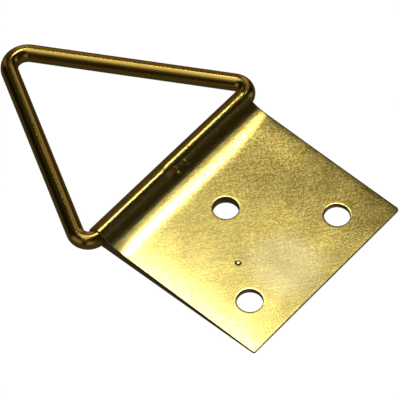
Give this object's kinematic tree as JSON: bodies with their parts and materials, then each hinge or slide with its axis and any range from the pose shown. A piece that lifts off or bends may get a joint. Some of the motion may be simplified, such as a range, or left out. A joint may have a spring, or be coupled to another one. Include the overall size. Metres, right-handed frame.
{
  "type": "triangle picture hanger",
  "caption": "Brass-coloured picture hanger: a bent wire triangle swings in the rolled edge of a flat plate, folded double from thin sheet and punched with screw holes.",
  "frame": {"origin": "middle of the flat back of the plate, on the face that lies against the picture frame", "axes": "+X across the plate along the wire's axis, +Y up the plate to the triangle's apex, +Z out of the front"},
  "size_m": [0.0314, 0.0502, 0.0027],
  "materials": {
    "brass_sheet": "bright satin brass plating with a fine mottle and rub marks",
    "brass_wire": "polished brass plating on drawn wire"
  },
  "bodies": {
    "plate": {"folded_plate": "brass_sheet"},
    "triangle": {"wire_triangle": "brass_wire"}
  },
  "joints": [
    {"name": "triangle_swing", "type": "hinge", "parent": "plate", "child": "triangle", "pos_m": [0, 0.01195, 0.00134], "axis": [1, 0, 0], "range_deg": [-140, 160]}
  ]
}
